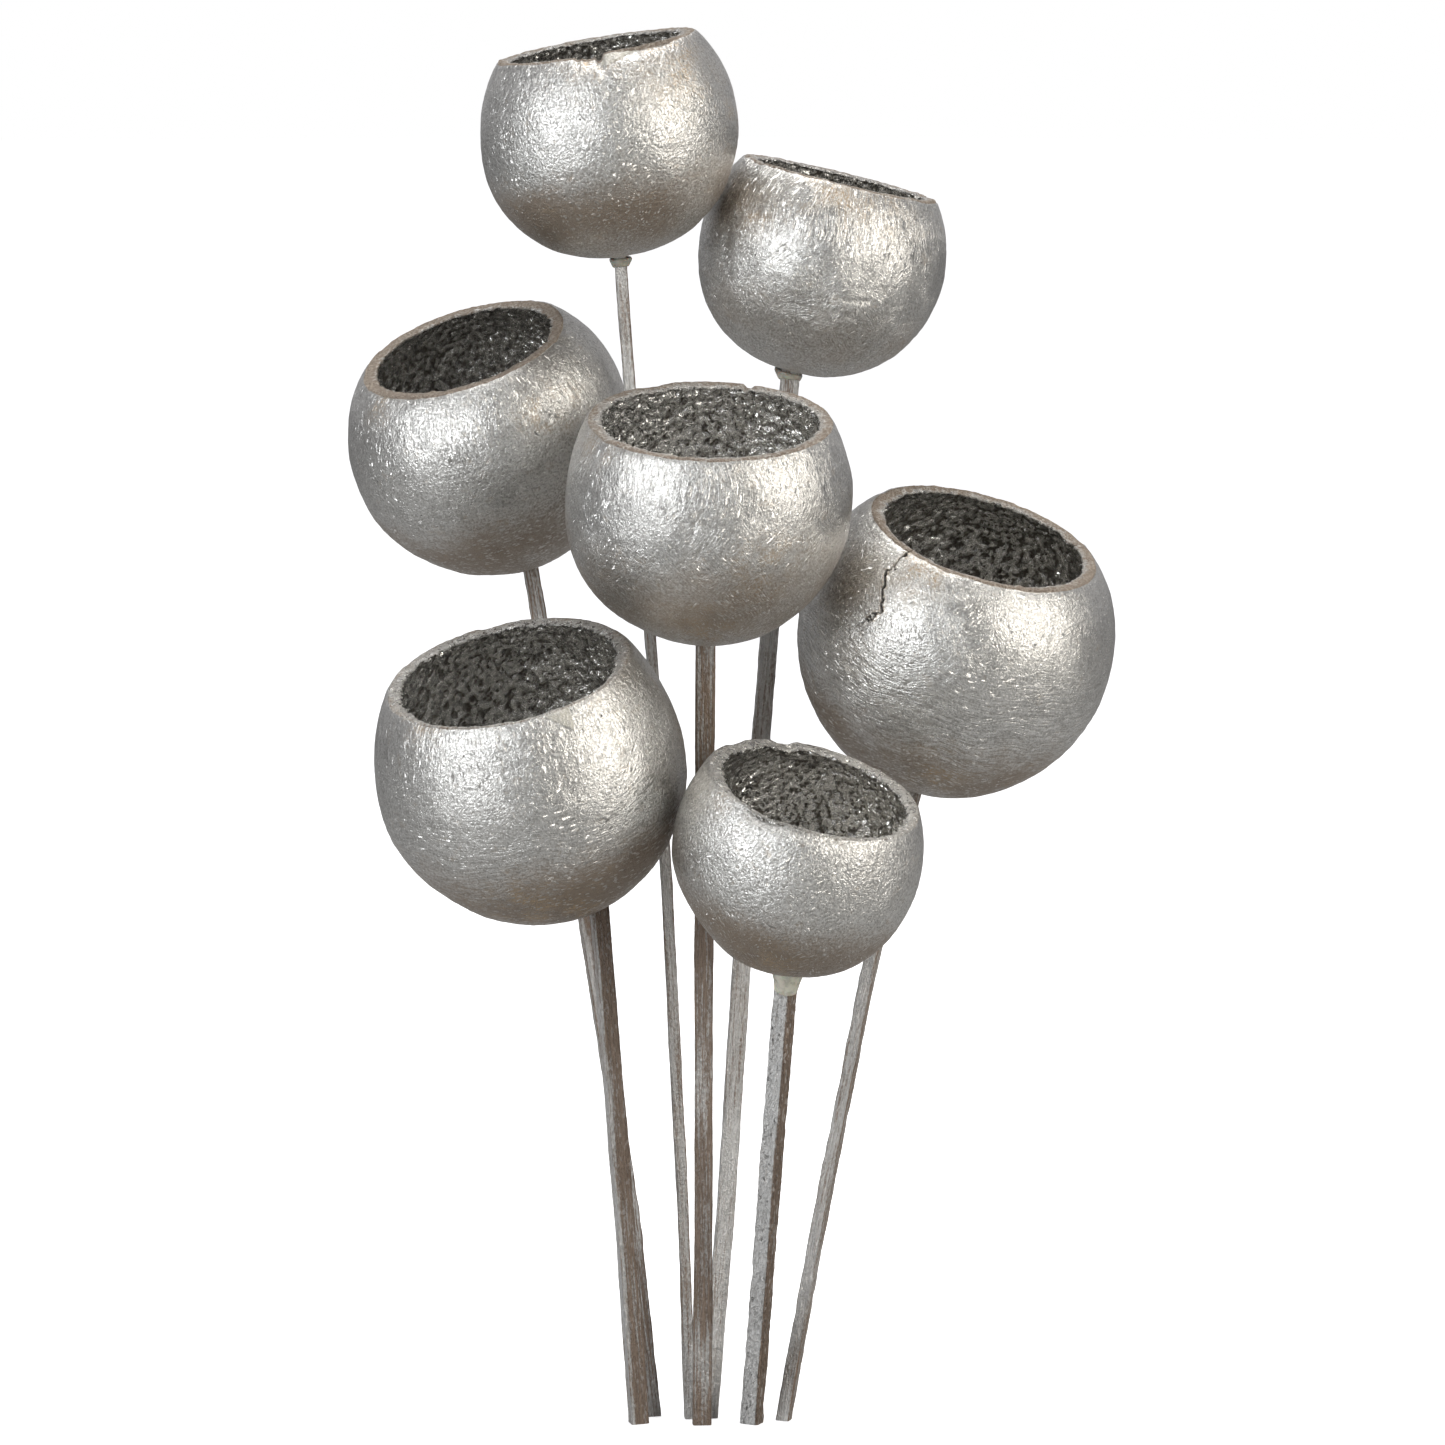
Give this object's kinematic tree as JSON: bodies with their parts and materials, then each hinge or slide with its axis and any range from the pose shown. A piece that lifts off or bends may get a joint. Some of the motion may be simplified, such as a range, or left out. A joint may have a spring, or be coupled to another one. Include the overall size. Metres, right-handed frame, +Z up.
{
  "type": "silver-painted dried cup pod bunch",
  "caption": "Bunch of dried round cup pods painted silver, each a hollow shell glued on its own square wooden stick, fanned out at different heights as a table or vase decoration.",
  "frame": {"origin": "on the ground in the middle of the centre stick's cut foot", "axes": "+Z up along the sticks, the bunch's front faces -Y, +X to its right as seen from the front"},
  "size_m": [0.1809, 0.139, 0.3262],
  "materials": {
    "silver_pod": "metallic silver paint, brushed thin over fibrous dried husk, with brown worn patches",
    "silver_stick": "metallic silver paint over planed wood, worn to brown in streaks",
    "glue": "translucent yellow-grey hot melt glue"
  },
  "bodies": {
    "root": {"pod_top": "silver_pod", "pod_upper_right": "silver_pod", "pod_left": "silver_pod", "pod_centre": "silver_pod", "pod_right": "silver_pod", "pod_lower_left": "silver_pod", "pod_lower_right": "silver_pod", "stick_top": "silver_stick", "stick_upper_right": "silver_stick", "stick_left": "silver_stick", "stick_centre": "silver_stick", "stick_right": "silver_stick", "stick_lower_left": "silver_stick", "stick_lower_right": "silver_stick", "glue_top": "glue", "glue_upper_right": "glue", "glue_left": "glue", "glue_centre": "glue", "glue_right": "glue", "glue_lower_left": "glue", "glue_lower_right": "glue"}
  },
  "joints": []
}
